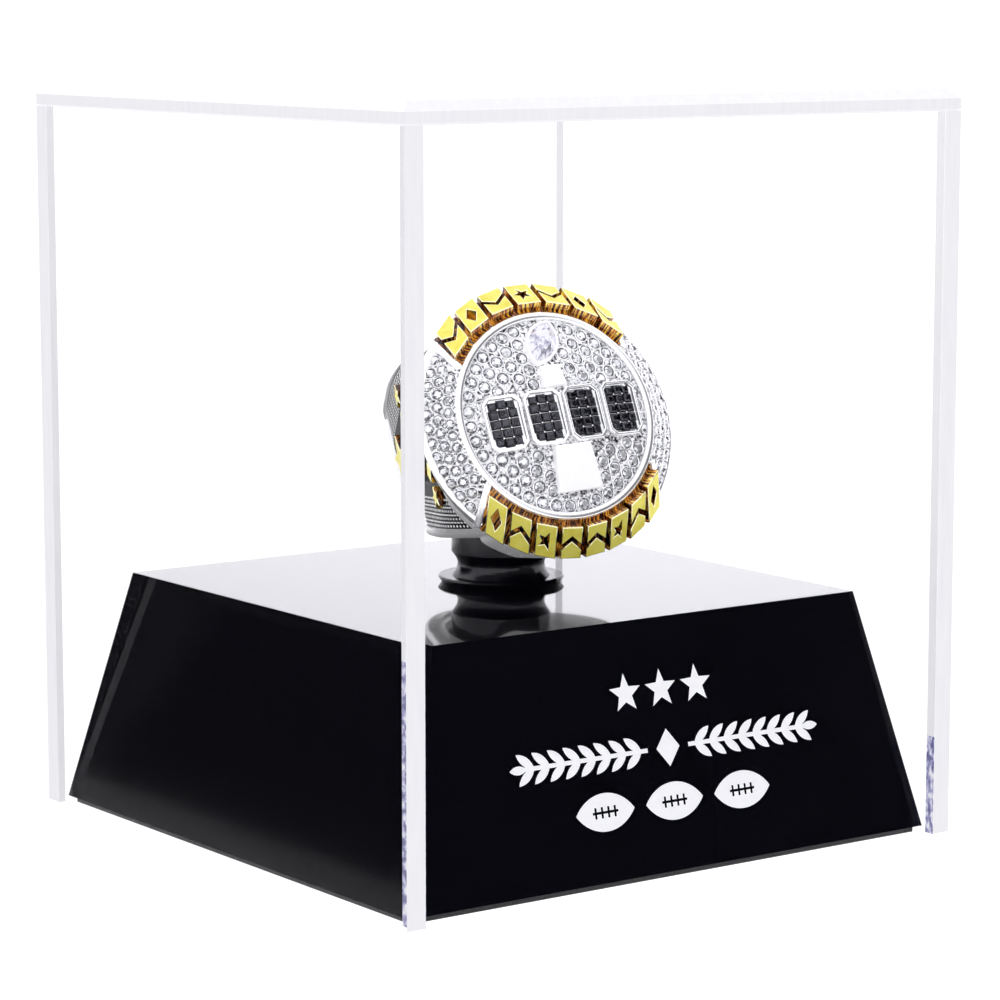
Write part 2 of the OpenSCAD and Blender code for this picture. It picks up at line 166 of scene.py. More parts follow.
def piece(shape, name, materials, replaced=(), body="ring", sharp=35, local=FACE):
    """Makes a piece of a Shape. local gives the axes whose coordinates the materials read, in millimetres."""
    mesh = bpy.data.meshes.new(name)
    mesh.from_pydata([v * MM for v in shape.verts], [], shape.faces)
    mesh.polygons.foreach_set("material_index", shape.paint)
    for m in materials:
        mesh.materials.append(m)
    if local is not None:
        back = local.inverted()
        attribute = mesh.attributes.new("local", "FLOAT_VECTOR", "POINT")
        flat = [c for v in shape.verts for c in back @ v]
        attribute.data.foreach_set("vector", flat)
    mesh.validate()
    mesh.shade_smooth()
    mesh.set_sharp_from_angle(angle=math.radians(sharp))
    mesh.update()
    obj = bpy.data.objects.new(name, mesh)
    scene.collection.objects.link(obj)
    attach(obj, body)
    if replaced:
        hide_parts(*replaced)
    return obj


def strip(near, far, count):
    """Faces between two closed rows of vertices, given by their first numbers."""
    pairs = [(i, (i + 1) % count) for i in range(count)]
    return [(near + i, near + j, far + j, far + i) for i, j in pairs]


def lathe(profile, steps, start=0.0, end=360.0):
    """Turns a closed (r, z) outline about z. Less than a full turn gets flat ends."""
    whole = end - start >= 360
    rows = steps if whole else steps + 1
    verts = []
    for i in range(rows):
        a = math.radians(start + (end - start) * i / steps)
        verts += [(r * math.cos(a), r * math.sin(a), z) for r, z in profile]
    n = len(profile)
    faces = []
    for i in range(steps):
        near, far = i * n, ((i + 1) % rows) * n
        for j in range(n):
            k = (j + 1) % n
            faces.append((near + j, far + j, far + k, near + k))
    if not whole:
        faces.append(tuple(range(n)))
        faces.append(tuple(reversed(range(steps * n, steps * n + n))))
    return verts, faces


def solid_lathe(profile, steps):
    """Turns an open (r, z) outline that begins and ends on the axis about z."""
    verts = [(0, 0, profile[0][1])]
    ring = profile[1:-1]
    for i in range(steps):
        a = TAU * i / steps
        verts += [(r * math.cos(a), r * math.sin(a), z) for r, z in ring]
    verts.append((0, 0, profile[-1][1]))
    n, last = len(ring), len(verts) - 1
    faces = []
    for i in range(steps):
        near, far = 1 + i * n, 1 + ((i + 1) % steps) * n
        faces.append((0, far, near))
        for j in range(n - 1):
            faces.append((near + j, far + j, far + j + 1, near + j + 1))
        faces.append((near + n - 1, far + n - 1, last))
    return verts, faces


def arc(cx, cz, r, start, end, steps):
    """Points of an arc, angles in degrees."""
    angles = [math.radians(start + (end - start) * i / steps) for i in range(steps + 1)]
    return [(cx + r * math.cos(a), cz + r * math.sin(a)) for a in angles]


def plate(outlines, height, bevel, base=0.0, top=0, side=0, edge=0):
    """Extruded outlines, one inside another being a hole, with bevelled edges. Paints go by slope."""
    curve = bpy.data.curves.new("outline", "CURVE")
    curve.dimensions = "2D"
    curve.fill_mode = "BOTH"
    curve.extrude = height / 2 - bevel
    curve.bevel_depth = bevel
    curve.bevel_resolution = 1
    curve.offset = -bevel
    for outline in outlines:
        spline = curve.splines.new("POLY")
        spline.points.add(len(outline) - 1)
        for point, (x, y) in zip(spline.points, outline):
            point.co = (x, y, 0, 1)
        spline.use_cyclic_u = True
    obj = bpy.data.objects.new("outline", curve)
    mesh = bpy.data.meshes.new_from_object(obj)
    verts = [(v.co.x, v.co.y, v.co.z + height / 2 + base) for v in mesh.vertices]
    faces = [tuple(p.vertices) for p in mesh.polygons]
    paints = [top if p.normal.z > 0.95 else edge if p.normal.z > 0.3 else side for p in mesh.polygons]
    bpy.data.objects.remove(obj)
    bpy.data.curves.remove(curve)
    bpy.data.meshes.remove(mesh)
    return verts, faces, paints


def lens(length, width, steps=12):
    """Pointed oval, long way along x."""
    r = (length ** 2 + width ** 2) / 4 / width
    half = math.degrees(math.asin(length / 2 / r))
    upper = arc(0, width / 2 - r, r, 90 + half, 90 - half, steps)
    lower = arc(0, r - width / 2, r, half - 90, -half - 90, steps)
    return upper[:-1] + lower[:-1]


def star(r, inner=0.42):
    return [(r * (1 if i % 2 == 0 else inner) * math.sin(math.pi * i / 5),
             r * (1 if i % 2 == 0 else inner) * math.cos(math.pi * i / 5)) for i in range(10)]


def lozenge(length, width):
    return [(-length / 2, 0), (0, -width / 2), (length / 2, 0), (0, width / 2)]


def brilliant(r, crown, pavilion, sides=8):
    """Round brilliant: table, stars, kites and girdle facets above, a fan of facets below."""
    def ring(radius, z, count, offset):
        return [(radius * math.cos(TAU * (i + offset) / count),
                 radius * math.sin(TAU * (i + offset) / count), z) for i in range(count)]
    table = ring(r * 0.55, crown, sides, 0)
    star_row = ring(r * 0.8, crown * 0.62, sides, 0.5)
    girdle = ring(r, 0, 2 * sides, 0)
    verts = table + star_row + girdle + [(0, 0, -pavilion)]
    t, s, g, culet = 0, sides, 2 * sides, 4 * sides
    faces = [tuple(range(sides))]
    for i in range(sides):
        j = (i + 1) % sides
        before = (i - 1) % sides
        faces.append((t + i, s + i, t + j))
        faces.append((t + i, s + before, g + 2 * i, s + i))
        faces.append((s + i, g + 2 * i, g + 2 * i + 1))
        faces.append((s + i, g + 2 * i + 1, g + 2 * j))
    for i in range(2 * sides):
        faces.append((g + i, culet, g + (i + 1) % (2 * sides)))
    return verts, faces


def bead(r, rows=3, steps=8, stretch=1.0):
    """Half ball standing on z = 0, long way along x when stretched."""
    verts = []
    for j in range(rows):
        a = math.pi / 2 * j / rows
        verts += [(stretch * r * math.cos(a) * math.cos(TAU * i / steps),
                   r * math.cos(a) * math.sin(TAU * i / steps), r * math.sin(a)) for i in range(steps)]
    verts.append((0, 0, r))
    faces = [tuple(reversed(range(steps)))]
    for j in range(rows - 1):
        faces += strip(j * steps, (j + 1) * steps, steps)
    top = rows * steps
    faces += [((rows - 1) * steps + i, (rows - 1) * steps + (i + 1) % steps, top) for i in range(steps)]
    return verts, faces


def cut(part, cutter):
    """A part with a cutter's volume taken out of it."""
    objects = []
    for verts, faces in (part, cutter):
        mesh = bpy.data.meshes.new("cut")
        mesh.from_pydata(verts, [], faces)
        objects.append(bpy.data.objects.new("cut", mesh))
        scene.collection.objects.link(objects[-1])
    whole, tool = objects
    modifier = whole.modifiers.new("cut", "BOOLEAN")
    modifier.operation = "DIFFERENCE"
    modifier.solver = "EXACT"
    modifier.object = tool
    seen = whole.evaluated_get(bpy.context.evaluated_depsgraph_get())
    mesh = seen.to_mesh()
    result = [tuple(v.co) for v in mesh.vertices], [tuple(p.vertices) for p in mesh.polygons]
    seen.to_mesh_clear()
    for obj in objects:
        data = obj.data
        bpy.data.objects.remove(obj)
        bpy.data.meshes.remove(data)
    return result


# ---------- materials ----------

def add_node(tree, kind, inputs=(), **settings):
    """Adds a shader node. An input is given as a value, or as a socket to link it from."""
    made = tree.nodes.new(kind)
    for name, value in settings.items():
        setattr(made, name, value)
    for socket, value in dict(inputs).items():
        if isinstance(value, bpy.types.NodeSocket):
            tree.links.new(value, made.inputs[socket])
        else:
            made.inputs[socket].default_value = value
    return made


class Paint:
    """A Principled material, and short ways to drive its sockets from procedural textures."""

    def __init__(self, name, colour, roughness, **sockets):
        self.material = bpy.data.materials.new(name)
        self.material.use_nodes = True
        self.tree = self.material.node_tree
        self.shader = self.tree.nodes["Principled BSDF"]
        self.shader.inputs["Base Color"].default_value = (*colour, 1)
        self.shader.inputs["Roughness"].default_value = roughness
        for name, value in sockets.items():
            self.shader.inputs[name.replace("_", " ")].default_value = value

    def node(self, kind, inputs=(), **settings):
        return add_node(self.tree, kind, inputs, **settings)

    def place(self):
        """Object coordinates in metres."""
        return self.node("ShaderNodeTexCoord").outputs["Object"]

    def local(self):
        """The piece's own coordinates in millimetres."""
        return self.node("ShaderNodeAttribute", attribute_name="local").outputs["Vector"]

    def stretch(self, vector, scale):
        return self.node("ShaderNodeMapping", {"Vector": vector, "Scale": scale}).outputs["Vector"]

    def noise(self, vector, scale, detail=3.0, roughness=0.55):
        made = self.node("ShaderNodeTexNoise", {"Vector": vector, "Scale": scale, "Detail": detail,
                                                "Roughness": roughness})
        return made.outputs["Fac"]

    def ramp(self, value, *stops):
        """A colour ramp through (position, colour) stops."""
        made = self.node("ShaderNodeValToRGB", {"Fac": value})
        elements = made.color_ramp.elements
        while len(elements) < len(stops):
            elements.new(0.5)
        for element, (position, colour) in zip(elements, stops):
            element.position = position
            element.color = (*colour, 1)
        return made.outputs["Color"]

    def between(self, value, low, high):
        """Maps a 0 to 1 value to low to high."""
        made = self.node("ShaderNodeMapRange", {"Value": value, "To Min": low, "To Max": high})
        return made.outputs["Result"]

    def math(self, operation, a, b=0.0):
        made = self.node("ShaderNodeMath", {0: a, 1: b}, operation=operation)
        return made.outputs["Value"]

    def colour(self, socket):
        self.tree.links.new(socket, self.shader.inputs["Base Color"])
        return self

    def rough(self, socket):
        self.tree.links.new(socket, self.shader.inputs["Roughness"])
        return self

    def glow(self, socket, strength):
        self.tree.links.new(socket, self.shader.inputs["Emission Color"])
        self.shader.inputs["Emission Strength"].default_value = strength
        return self

    def bump(self, height, distance, strength=1.0):
        made = self.node("ShaderNodeBump", {"Height": height, "Distance": distance, "Strength": strength})
        self.tree.links.new(made.outputs["Normal"], self.shader.inputs["Normal"])
        return self


def make_acrylic():
    p = Paint("clear_acrylic", (0.967, 0.967, 0.973), 0.0, IOR=1.49, Transmission_Weight=1.0)
    p.shader.inputs["Specular Tint"].default_value = (0.1, 0.1, 0.1, 1)
    waves = p.noise(p.place(), 30, 1.0)
    return p.bump(waves, 0.00002, 0.3).material


def make_cut_edge(name, glued):
    """Satin saw-cut edge of the clear sheet, its colour also given out as a painted glow that stands for the
    light led along inside the sheet. Where the front plate is bonded there are glue bubbles, higher up at its
    left end than at its right, glowing the same way."""
    p = Paint(name, (0.11, 0.11, 0.115), 0.35, Coat_Weight=0.2, Coat_Roughness=0.1)
    saw = p.noise(p.stretch(p.place(), (1, 1, 0.1)), 1500, 3.0)
    light = p.ramp(saw, (0.3, (0.90, 0.90, 0.95)), (0.7, (0.97, 0.97, 1.0)))
    if glued:
        bubbles = p.noise(p.place(), 900, 4.0, 0.7)
        glue = p.ramp(bubbles, (0.42, (0.10, 0.09, 0.28)), (0.5, (0.42, 0.41, 0.70)),
                      (0.6, (0.95, 0.95, 1.0)))
        parts = p.node("ShaderNodeSeparateXYZ", {0: p.place()}).outputs
        height = p.math("ADD", parts["Z"], p.math("MULTIPLY", parts["X"], GLUE_FALL))
        low = p.math("LESS_THAN", height, GLUE_MEAN * MM)
        light = p.node("ShaderNodeMix", {0: low, 6: light, 7: glue}, data_type="RGBA").outputs[2]
    # Painted glow: the edge gives out its saw-marked colour as light, and the glue bubbles give out theirs.
    p.glow(light, 0.78)
    p.rough(p.between(saw, 0.25, 0.45))
    return p.bump(saw, 0.00001, 0.5).material


def make_black(name, specular, coat):
    p = Paint(name, (0.003, 0.003, 0.006), 0.05, IOR=1.5, Specular_IOR_Level=specular,
              Coat_Weight=coat, Coat_Roughness=0.02, Coat_IOR=1.25)
    dust = p.noise(p.place(), 900, 5.0, 0.7)
    p.rough(p.between(dust, 0.02, 0.09))
    flow = p.noise(p.place(), 60, 2.0)
    return p.bump(flow, 0.00001, 0.3).material


def make_silver(name, dark=0.8, roughness=0.14, metallic=0.85, glow=0.06):
    p = Paint(name, (0.93, 0.93, 0.94), roughness, Metallic=metallic)
    wear = p.noise(p.place(), 1400, 4.0, 0.65)
    colour = p.ramp(wear, (0.3, (dark, dark, dark * 1.01)), (0.55, (0.96, 0.96, 0.97)))
    p.colour(colour)
    # Painted glow: the silver gives out its own worn colour as light, a little for most silvers and most for
    # the white silver.
    p.glow(colour, glow)
    p.rough(p.between(wear, roughness * 0.6, roughness * 1.8))
    fine = p.noise(p.stretch(p.place(), (1, 1, 0.15)), 9000, 2.0)
    return p.bump(fine, 0.000004, 0.4).material


def make_crevice():
    """Oxidised silver between stones: bright grains over dark pits."""
    p = Paint("pave_ground", (0.5, 0.5, 0.5), 0.3, Metallic=1.0)
    grain = p.noise(p.local(), 2.6, 3.0, 0.7)
    p.colour(p.ramp(grain, (0.40, (0.02, 0.02, 0.024)), (0.48, (0.45, 0.45, 0.46)),
                    (0.55, (0.95, 0.95, 0.96))))
    return p.bump(grain, 0.00015, 0.7).material


def make_crystal(name, dark, light, tint, coat=1.0):
    """Foiled crystal: each facet's colour is a painted reflection, a patch of light or dark picked from its
    direction and place.
    """
    p = Paint(name, light, 0.04, Metallic=0.5, Coat_Weight=coat, Coat_Roughness=0.02)
    facing = p.node("ShaderNodeNewGeometry").outputs["True Normal"]
    spread = p.node("ShaderNodeVectorMath", {0: facing, 1: (7.3, 7.3, 7.3)}, operation="MULTIPLY")
    stone = p.stretch(p.local(), (0.55, 0.55, 0.55))
    cell = p.node("ShaderNodeVectorMath", {0: spread.outputs["Vector"], 1: stone},
                  operation="ADD").outputs["Vector"]
    painted_reflection = p.noise(cell, 1.4, 2.0, 0.7)
    # Painted reflection: the facet's colour ramps from dark to light to stand for what it would mirror.
    p.colour(p.ramp(painted_reflection, (0.34, dark), (0.43, tint), (0.52, light)))
    return p.material


def make_gold_face():
    p = Paint("gold_face", (0.90, 0.83, 0.17), 0.3, Metallic=0.3)
    cloud = p.noise(p.local(), 0.5, 3.0)
    colour = p.ramp(cloud, (0.3, (0.80, 0.69, 0.08)), (0.6, (0.90, 0.82, 0.16)))
    p.colour(colour)
    # Painted glow: the gold face gives out its own colour as light.
    p.glow(colour, 0.2)
    p.rough(p.between(p.noise(p.local(), 6, 3.0), 0.24, 0.4))
    return p.bump(p.noise(p.local(), 14, 2.0), 0.00001, 0.4).material


def make_gold_streaks(name, deep, mid, bright, metallic):
    """Gold and amber lines that run across the band, from the rim outwards: partly the gold and enamel's own
    streaky tone, partly painted highlights.
    """
    p = Paint(name, mid, 0.16, Metallic=metallic, Coat_Weight=1.0, Coat_Roughness=0.05)
    parts = p.node("ShaderNodeSeparateXYZ", {0: p.local()}).outputs
    round_face = p.math("ARCTAN2", parts["Y"], parts["X"])
    place = p.node("ShaderNodeCombineXYZ", {"X": p.math("MULTIPLY", round_face, 44.0),
                                            "Y": p.math("MULTIPLY", parts["Z"], 0.35)}).outputs["Vector"]
    lines = p.noise(place, 1.0, 2.0, 0.6)
    # The brightest streaks are partly painted highlights, standing for streaky reflections on the walls and
    # ground.
    p.colour(p.ramp(lines, (0.42, deep), (0.5, mid), (0.57, bright)))
    return p.bump(lines, 0.00008, 0.5).material


def make_plain(name, colour, roughness, scale, depth, **sockets):
    """Moulded, painted or fibrous stuff: one colour that varies a little, with a fine grain."""
    p = Paint(name, colour, roughness, **sockets)
    grain = p.noise(p.place(), scale, 4.0, 0.65)
    darker = tuple(c * 0.82 for c in colour)
    lighter = tuple(min(1, c * 1.12) for c in colour)
    p.colour(p.ramp(grain, (0.3, darker), (0.7, lighter)))
    p.rough(p.between(grain, roughness * 0.75, min(1, roughness * 1.3)))
    return p.bump(grain, depth, 0.5).material


acrylic = make_acrylic()
cut_edge_glow = make_cut_edge("cut_edge_glow", False)
glued_edge_glow = make_cut_edge("glued_edge_glow", True)
black_slope = make_black("black_acrylic", 0.12, 0.0)
black_top = make_black("black_acrylic_top", 0.25, 1.0)
# Every silver glows a little with painted light in its own colour; the white silver glows most, which makes
# it read white.
silver = make_silver("silver_plate")
silver_shank = make_silver("silver_shank", 0.88, 0.2, 0.5, 0.15)
silver_bright = make_silver("silver_polish", 0.93, 0.1)
glowing_silver_white = make_silver("glowing_silver_white", 0.95, 0.3, 0.2, 0.35)
crevice = make_crevice()
# Three copies of the clear crystal, painted from bright to dark, stand for facets that mirror light and
# shade. The marquise and black stones have painted facet reflections too.
crystal = make_crystal("clear_crystal", (0.3, 0.3, 0.32), (0.97, 0.98, 1.0), (0.8, 0.8, 0.83))
crystal_half_lit = make_crystal("clear_crystal_half_lit", (0.12, 0.12, 0.13), (0.75, 0.76, 0.8), (0.4, 0.4, 0.43))
crystal_shaded = make_crystal("clear_crystal_shaded", (0.008, 0.008, 0.01), (0.25, 0.25, 0.28),
                            (0.04, 0.04, 0.045))
CRYSTAL_REFLECTION_TONES = [crystal, crystal_half_lit, crystal_shaded]
marquise_crystal = make_crystal("marquise_crystal", (0.22, 0.21, 0.29), (0.80, 0.80, 0.86),
                                (0.48, 0.47, 0.58))
black_crystal = make_crystal("black_crystal", (0.002, 0.002, 0.003), (0.045, 0.045, 0.06),
                             (0.008, 0.008, 0.012), 0.3)
# Dark paint for the shade in the gaps round stones: the cups under them and the outline round the marquise.
oxide = make_plain("oxide", (0.025, 0.025, 0.03), 0.4, 3000, 0.00002, Metallic=0.5)
gold_face = make_gold_face()
gold_edge = make_plain("gold_edge", (0.98, 0.93, 0.6), 0.12, 4000, 0.000003, Metallic=1.0)
gold_wall = make_gold_streaks("gold_wall", (0.02, 0.003, 0.001), (0.55, 0.14, 0.005), (1.0, 0.76, 0.12), 0.7)
amber = make_gold_streaks("amber_enamel", (0.005, 0.001, 0.001), (0.12, 0.012, 0.002), (1.0, 0.45, 0.03), 0.4)
enamel_black = make_plain("black_enamel", (0.004, 0.004, 0.005), 0.4, 3000, 0.00003,
                          Specular_IOR_Level=0.1)
holder_black = make_plain("holder_plastic", (0.004, 0.004, 0.009), 0.1, 500, 0.000008,
                          Specular_IOR_Level=0.35)
rubber = make_plain("rubber", (0.012, 0.012, 0.013), 0.55, 2500, 0.00002)
board = make_plain("black_board", (0.03, 0.03, 0.032), 0.7, 1500, 0.00008)
felt = make_plain("felt", (0.02, 0.02, 0.024), 0.95, 6000, 0.0003, Sheen_Weight=0.6)
# The white inlays glow with painted light.
white_fill = make_plain("white_fill", (0.96, 0.96, 0.97), 0.45, 2500, 0.00003, Emission_Strength=0.3,
                        Emission_Color=(0.95, 0.95, 1.0, 1))
nylon = make_plain("nylon", (0.7, 0.7, 0.68), 0.4, 1200, 0.00002)
zinc = make_plain("zinc_steel", (0.6, 0.61, 0.63), 0.3, 2000, 0.00001, Metallic=1.0)

# ---------- camera, floor and light ----------

CAMERA_AT = Vector((-254.16, -351.94, 102.0))
CAMERA_BEARING = math.radians(-36.0055)
CAMERA_DOWN = math.radians(8.1931)
CAMERA_LENS = 128.69
FLOOR_GREY = (0.1, 0.1, 0.1)
WHITE = (1.0, 1.0, 1.0)
BLACK = (0.0, 0.0, 0.0)
STUDIO_WHITE = (1, 0.995, 1.04, 1)
WHITE_LEVEL = 1.22
MIRRORED_LEVEL = 1.65
FLAG_LEVEL = 0.06
# Ways in which the two near slopes of the base mirror the studio, where it is flagged off.
FLAGGED_WAYS = ((0.583, -0.787, 0.2), (-0.588, 0.8, 0.11))
# Cosines of the angles from such a way at which its flag begins and is full.
FLAG_OUTER = 0.86
FLAG_INNER = 0.93

scene.view_settings.view_transform = "Standard"
# Light led along inside the clear sheet is mirrored dozens of times before it comes out.
scene.cycles.max_bounces = 64
scene.cycles.glossy_bounces = 48
scene.cycles.transmission_bounces = 32

camera_data = bpy.data.cameras.new("camera")
camera_data.sensor_width = 36
camera_data.lens = CAMERA_LENS
camera_data.clip_start = 0.01
camera_data.clip_end = 100
camera = bpy.data.objects.new("camera", camera_data)
camera.location = CAMERA_AT * MM
camera.rotation_euler = (math.pi / 2 - CAMERA_DOWN, 0, CAMERA_BEARING)
scene.collection.objects.link(camera)
scene.camera = camera


def mirrored_once(tree, deepest=99):
    """1 for a ray that one mirror-like surface sent here, else 0. With deepest 2 it has gone through the
    clear sheet no deeper than that surface's own plate."""
    path = add_node(tree, "ShaderNodeLightPath").outputs
    tests = (("GREATER_THAN", "Glossy Depth", 0.5), ("LESS_THAN", "Glossy Depth", 1.5),
             ("LESS_THAN", "Transmission Depth", deepest + 0.5))
    passed = 1.0
    for operation, depth, value in tests:
        test = add_node(tree, "ShaderNodeMath", {0: path[depth], 1: value}, operation=operation).outputs[0]
        passed = add_node(tree, "ShaderNodeMath", {0: passed, 1: test}, operation="MULTIPLY").outputs[0]
    return passed


def make_floor():
    """Pale seamless floor, flagged off from what the clear plates themselves mirror."""
    half = 6.0
    mesh = bpy.data.meshes.new("floor")
    corners = [(-half, -half, 0), (half, -half, 0), (half, half, 0), (-half, half, 0)]
    mesh.from_pydata(corners, [], [(0, 1, 2, 3)])
    floor = bpy.data.objects.new("floor", mesh)
    scene.collection.objects.link(floor)
    p = Paint("floor", FLOOR_GREY, 0.9, Specular_IOR_Level=0.0)
    p.colour(p.ramp(mirrored_once(p.tree, 2), (0.0, FLOOR_GREY), (1.0, BLACK)))
    p.glow(p.ramp(mirrored_once(p.tree, 2), (0.0, WHITE), (1.0, BLACK)), WHITE_LEVEL)
    mesh.materials.append(p.material)
    floor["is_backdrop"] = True


def make_world():
    """White studio, with two dark flags for what is mirrored."""
    world = bpy.data.worlds.new("studio")
    scene.world = world
    world.use_nodes = True
    tree = world.node_tree
    way = add_node(tree, "ShaderNodeTexCoord").outputs["Generated"]
    flags = []
    for flagged in FLAGGED_WAYS:
        near = add_node(tree, "ShaderNodeVectorMath", {0: way, 1: flagged}, operation="DOT_PRODUCT")
        soft = add_node(tree, "ShaderNodeMapRange", {"Value": near.outputs["Value"], "From Min": FLAG_OUTER,
                                                     "From Max": FLAG_INNER}, interpolation_type="SMOOTHSTEP")
        flags.append(soft.outputs["Result"])
    dark = add_node(tree, "ShaderNodeMath", {0: flags[0], 1: flags[1]}, operation="MAXIMUM").outputs[0]
    studio = add_node(tree, "ShaderNodeMapRange", {"Value": dark, "To Min": MIRRORED_LEVEL,
                                                   "To Max": FLAG_LEVEL}).outputs["Result"]
    strength = add_node(tree, "ShaderNodeMix", {0: mirrored_once(tree), 2: WHITE_LEVEL, 3: studio},
                        data_type="FLOAT")
    background = tree.nodes["Background"]
    background.inputs["Color"].default_value = STUDIO_WHITE
    tree.links.new(strength.outputs[0], background.inputs["Strength"])


make_floor()
make_world()

# ---------- cover and base ----------

def slab(low, high, chamfer, joint_axis):
    """Block between two corners, its upper edges chamfered. Its thin way's faces are clear (0), its cut
    edges and chamfers satin with a painted glow (1), and the ends along joint_axis glued, with a painted glow
    too (2)."""
    levels = ((low.z, 0), (high.z - chamfer, 0), (high.z, chamfer))
    verts = []
    for z, inset in levels:
        x0, y0, x1, y1 = low.x + inset, low.y + inset, high.x - inset, high.y - inset
        verts += [(x0, y0, z), (x1, y0, z), (x1, y1, z), (x0, y1, z)]
    faces = [(3, 2, 1, 0), (8, 9, 10, 11)] + strip(0, 4, 4) + strip(4, 8, 4)
    ways = [2, 2, 1, 0, 1, 0, None, None, None, None]
    size = high - low
    thin = min(range(3), key=lambda axis: size[axis])
    paints = [0 if way == thin else 2 if way is not None and way == joint_axis else 1 for way in ways]
    return verts, faces, paints


for side in ("top", "front", "back", "left", "right"):
    low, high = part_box("cover_" + side)
    chamfer = COVER_CHAMFER if side == "top" else EDGE_BREAK
    joint_axis = 0 if side == "front" else None
    shape = Shape().add(slab(Vector(low) / MM, Vector(high) / MM, chamfer, joint_axis))
    piece(shape, "clear_" + side, [acrylic, cut_edge_glow, glued_edge_glow], ["cover_" + side],
          "cover", local=None)

# CAD nodes that are seen as they are, by finish.
KEPT = (
    (black_slope, ("base_front_panel", "base_back_panel", "base_left_panel", "base_right_panel")),
    (white_fill, ("star_inlay", "laurel_inlay", "football_inlay")),
    (board, ("base_floor", "corner_blocks")),
    (zinc, ("floor_screws", "retaining_washer", "retaining_nut")),
    (felt, ("felt_pad",)),
    (nylon, ("swivel_washer",)),
    (holder_black, ("holder_body",)),
    (rubber, ("finger_bands",)),
)
for finish, names in KEPT:
    for name in names:
        nodes[name].data.materials.clear()
        nodes[name].data.materials.append(finish)


def make_top_panel():
    """Black top of the base: its upper face mirrors more than its sloping sides. The holder's spigot goes
    through it, and the swivel washer lies in a recess."""
    (x0, y0, low), (x1, y1, high) = [[c / MM for c in corner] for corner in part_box("base_top_panel")]
    inset = (high - low) * BASE_SLOPE
    verts = [(x0, y0, low), (x1, y0, low), (x1, y1, low), (x0, y1, low),
             (x0 + inset, y0 + inset, high), (x1 - inset, y0 + inset, high),
             (x1 - inset, y1 - inset, high), (x0 + inset, y1 - inset, high)]
    recess = high - WASHER_SINK
    hole = [(0, low - 1), (SPIGOT_R, low - 1), (SPIGOT_R, recess), (WASHER_R, recess),
            (WASHER_R, high + 1), (0, high + 1)]
    cutter, faces = solid_lathe(hole, 64)
    verts, faces = cut((verts, [(3, 2, 1, 0), (4, 5, 6, 7)] + strip(0, 4, 4)),
                       ([(x + HOLDER_X, y, z) for x, y, z in cutter], faces))
    paints = [1 if all(verts[i][2] > high - 0.01 for i in face) else 0 for face in faces]
    shape = Shape().add((verts, faces, paints))
    piece(shape, "top_panel", [black_slope, black_top], ["base_top_panel"], "base",
          local=None)


make_top_panel()

# ---------- ring: shank ----------

EDGE_R = 0.8
INNER_EDGE_R = 0.9
STEP = 0.04
FRONT_Y = -10.3
BACK_Y = 9.0
INNER_FRONT = math.radians(-88.5)
SIDE_BLEND = 1.2
FLANK_RATE = (SHOULDER[0] - HIP[0]) / (HIP[1] - SHOULDER[1])


def flank_x(y):
    """The sloping flank between hip and shoulder."""
    return HIP[0] + (HIP[1] - y) * FLANK_RATE


def side_x(y, z):
    """How far the ring's side stands out at (y, z): a sloping flank, blended into the bezel's foot circle."""
    flank = math.sqrt(SHANK_R ** 2 - y * y) if y > HIP[1] else flank_x(y)
    foot = math.sqrt(BEZEL_R ** 2 - z * z)
    near = max(SIDE_BLEND - abs(flank - foot), 0) / SIDE_BLEND
    return min(flank, foot) - near * near * SIDE_BLEND / 4


def shank_half(y, inset=0.0):
    return TAPER_MID - TAPER_RATE * y - inset


def shank_section(y, back_angle, inner_angle, sunk):
    """Points round the shank's section. Past the sides it is taken at an angle instead of at a y."""
    points = []
    if back_angle is not None:
        y = SHANK_R * math.sin(back_angle)

    def outer(z, inset):
        x = side_x(y, z) if back_angle is None else SHANK_R * math.cos(back_angle)
        way = max(math.atan2(y, x), 0.0)
        return (x - inset * math.cos(way), y - inset * math.sin(way), z)

    half = shank_half(y)
    window = shank_half(y, WINDOW_EDGE)
    rounding = arc(0, 0, EDGE_R, 90, 0, 5)
    upper = [(half - EDGE_R + z, EDGE_R - x) for x, z in rounding] + [(window + STEP, 0.0)]
    rows = [((window - STEP) * (1 - i / 14), WINDOW_DEPTH if sunk else 0.0) for i in range(29)]
    for z, inset in upper + rows + [(-z, inset) for z, inset in reversed(upper)]:
        points.append(outer(z, inset))
    c, s = math.cos(inner_angle), math.sin(inner_angle)
    inner_half = shank_half(HOLE_R * s)
    inside = [(HOLE_R + INNER_EDGE_R - x, inner_half - INNER_EDGE_R + z)
              for x, z in arc(0, 0, INNER_EDGE_R, 90, 0, 5)]
    for r, z in [(r, -z) for r, z in inside] + list(reversed(inside)):
        points.append((r * c, r * s, z))
    return points


